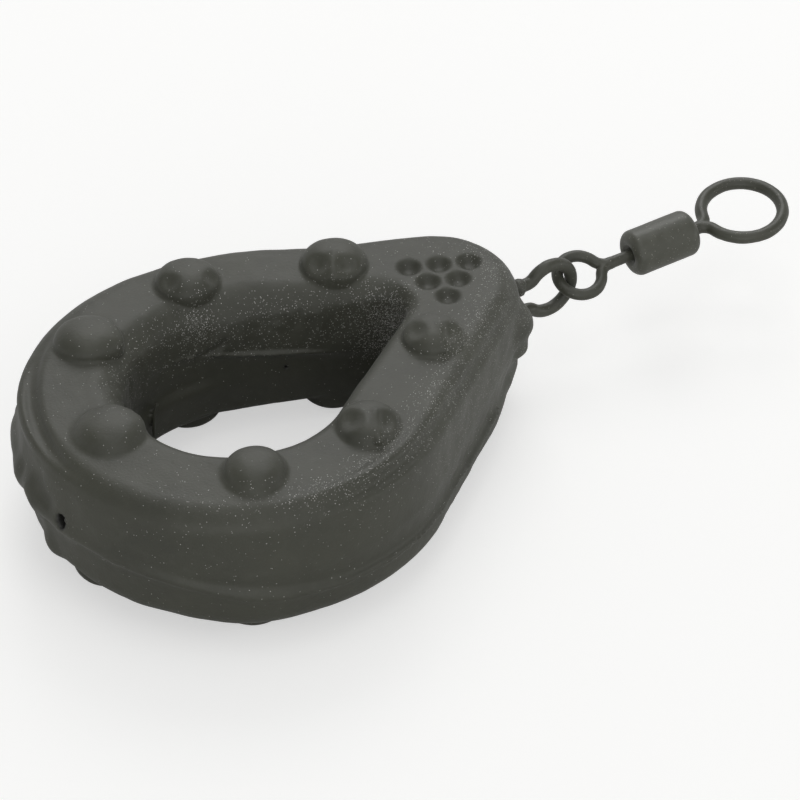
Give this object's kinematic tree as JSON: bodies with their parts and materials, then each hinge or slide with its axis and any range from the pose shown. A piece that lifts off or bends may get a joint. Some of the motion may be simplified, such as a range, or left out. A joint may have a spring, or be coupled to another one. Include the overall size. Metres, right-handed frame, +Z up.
{
  "type": "fishing sinker",
  "caption": "Flat ring-shaped fishing lead with a nose and a triangular hole, resting on low nubs, textured dark coating, wire loop in the nose and a barrel swivel linked to it.",
  "frame": {"origin": "under the middle of the whole assembly, on the plane that the lower nubs rest on", "axes": "+X from the round end of the lead to the swivel, +Z up from the resting nubs, Y across the lead"},
  "size_m": [0.0696, 0.0346, 0.0141],
  "materials": {
    "lead": "dull cast lead",
    "coating": "matte textured powder coating",
    "loop_wire": "blackened steel wire",
    "eye_wire": "blackened steel wire",
    "barrel_sleeve": "blackened brass tube",
    "ring_wire": "blackened steel wire"
  },
  "bodies": {
    "lead": {"lead_core": "lead", "textured_coat": "coating", "anchor_loop": "loop_wire"},
    "small_eye": {"small_eye": "eye_wire"},
    "barrel": {"barrel": "barrel_sleeve"},
    "line_ring": {"line_ring": "ring_wire"}
  },
  "joints": [
    {"name": "link_swing", "type": "hinge", "parent": "lead", "child": "small_eye", "pos_m": [0.01288, -0.00147, 0.00705], "axis": [-0.0872, -0.9962, 0], "range_deg": [-80, 70]},
    {"name": "barrel_spin", "type": "hinge", "parent": "small_eye", "child": "barrel", "pos_m": [0.02024, -0.00292, 0.00761], "axis": [0.9785, -0.192, 0.075], "continuous": true},
    {"name": "ring_spin", "type": "hinge", "parent": "barrel", "child": "line_ring", "pos_m": [0.02611, -0.00407, 0.00806], "axis": [0.9785, -0.192, 0.075], "continuous": true}
  ]
}
